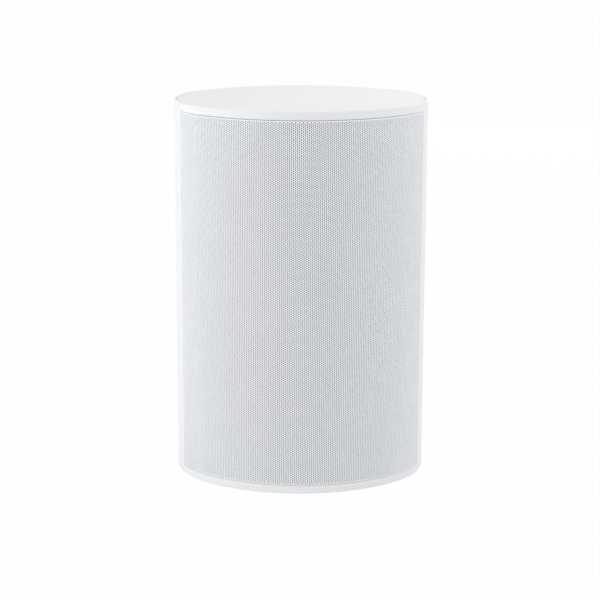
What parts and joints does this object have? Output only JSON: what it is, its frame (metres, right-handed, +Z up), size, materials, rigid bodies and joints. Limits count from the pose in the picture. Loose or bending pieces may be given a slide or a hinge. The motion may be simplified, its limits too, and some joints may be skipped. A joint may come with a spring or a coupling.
{
  "type": "compact speaker",
  "caption": "Compact white speaker with an oval cabinet, a curved perforated metal front, a flat top and a sunk connection panel at the back.",
  "frame": {"origin": "on the surface the feet rest on, under the middle of the oval cabinet", "axes": "+Z up, -Y towards the listener through the grille, +X to the right seen from the front"},
  "size_m": [0.132, 0.106, 0.2],
  "materials": {
    "white_shell": "satin moulded",
    "white_grille": "powder coat",
    "white_panel": "fine grain",
    "white_keys": "satin",
    "black_moulding": "matt",
    "port_plastic": "satin",
    "acoustic_cloth": "woven",
    "felt": "felt",
    "rubber": "matt",
    "cone_paper": "coated pulp",
    "plated_steel": "zinc plated",
    "black_steel": "black coat",
    "screw_steel": "blackened",
    "ferrite": "sintered",
    "copper_winding": "enamelled wire",
    "circuit_board": "solder resist",
    "tin_can": "tinned",
    "capacitor_sleeve": "shrink sleeve",
    "heat_sink_metal": "extruded",
    "insert_brass": "turned",
    "wire_sleeve": "smooth"
  },
  "bodies": {
    "housing": {"cabinet": "white_shell", "top_cover": "white_shell", "front_grille": "white_grille", "rear_panel": "white_panel", "baffle": "black_moulding", "grille_frame": "black_moulding", "tweeter_faceplate": "black_moulding", "mains_inlet": "black_moulding", "network_socket": "black_moulding", "aux_jack": "black_moulding", "key_switches": "black_moulding", "reflex_port": "port_plastic", "grille_cloth": "acoustic_cloth", "tweeter_dome": "acoustic_cloth", "woofer_spider": "acoustic_cloth", "damping_pads": "felt", "grille_grommets": "rubber", "baffle_gasket": "rubber", "woofer_gasket": "rubber", "woofer_surround": "rubber", "tweeter_gasket": "rubber", "rear_panel_gasket": "rubber", "foot_front_left": "rubber", "foot_front_right": "rubber", "foot_back_left": "rubber", "foot_back_right": "rubber", "woofer_top_plate": "plated_steel", "woofer_yoke": "plated_steel", "tweeter_pole_disc": "plated_steel", "tweeter_yoke": "plated_steel", "mains_contacts": "plated_steel", "tweeter_magnet": "plated_steel", "woofer_basket": "black_steel", "baffle_screws": "screw_steel", "woofer_screws": "screw_steel", "tweeter_screws": "screw_steel", "rear_panel_screws": "screw_steel", "board_screws": "screw_steel", "woofer_magnet": "ferrite", "transformer": "ferrite", "filter_inductors": "ferrite", "tweeter_voice_coil": "copper_winding", "amplifier_board": "circuit_board", "power_board": "circuit_board", "wireless_module": "tin_can", "filter_capacitors": "capacitor_sleeve", "mains_capacitor": "capacitor_sleeve", "heat_sink": "heat_sink_metal", "bracket_insert": "insert_brass", "mains_wires": "wire_sleeve", "power_wires": "wire_sleeve", "woofer_wires": "wire_sleeve", "tweeter_wires": "wire_sleeve"},
    "woofer_moving": {"woofer_cone": "cone_paper", "woofer_dust_cap": "cone_paper", "woofer_voice_coil": "copper_winding"},
    "power_button": {"power_key": "white_keys"},
    "pairing_button": {"pairing_key": "white_keys"},
    "volume_down_button": {"volume_down_key": "white_keys"},
    "volume_up_button": {"volume_up_key": "white_keys"}
  },
  "joints": [
    {"name": "woofer_excursion", "type": "slide", "parent": "housing", "child": "woofer_moving", "axis": [0, -1, 0], "range_m": [-0.003, 0.003], "stiffness_N_per_m": 900, "deforming": ["woofer_surround", "woofer_spider"]},
    {"name": "power_press", "type": "slide", "parent": "housing", "child": "power_button", "axis": [0, -1, 0], "range_m": [0, 0.0008], "stiffness_N_per_m": 700},
    {"name": "pairing_press", "type": "slide", "parent": "housing", "child": "pairing_button", "axis": [0, -1, 0], "range_m": [0, 0.0008], "stiffness_N_per_m": 700},
    {"name": "volume_down_press", "type": "slide", "parent": "housing", "child": "volume_down_button", "axis": [0, -1, 0], "range_m": [0, 0.0008], "stiffness_N_per_m": 700},
    {"name": "volume_up_press", "type": "slide", "parent": "housing", "child": "volume_up_button", "axis": [0, -1, 0], "range_m": [0, 0.0008], "stiffness_N_per_m": 700}
  ]
}
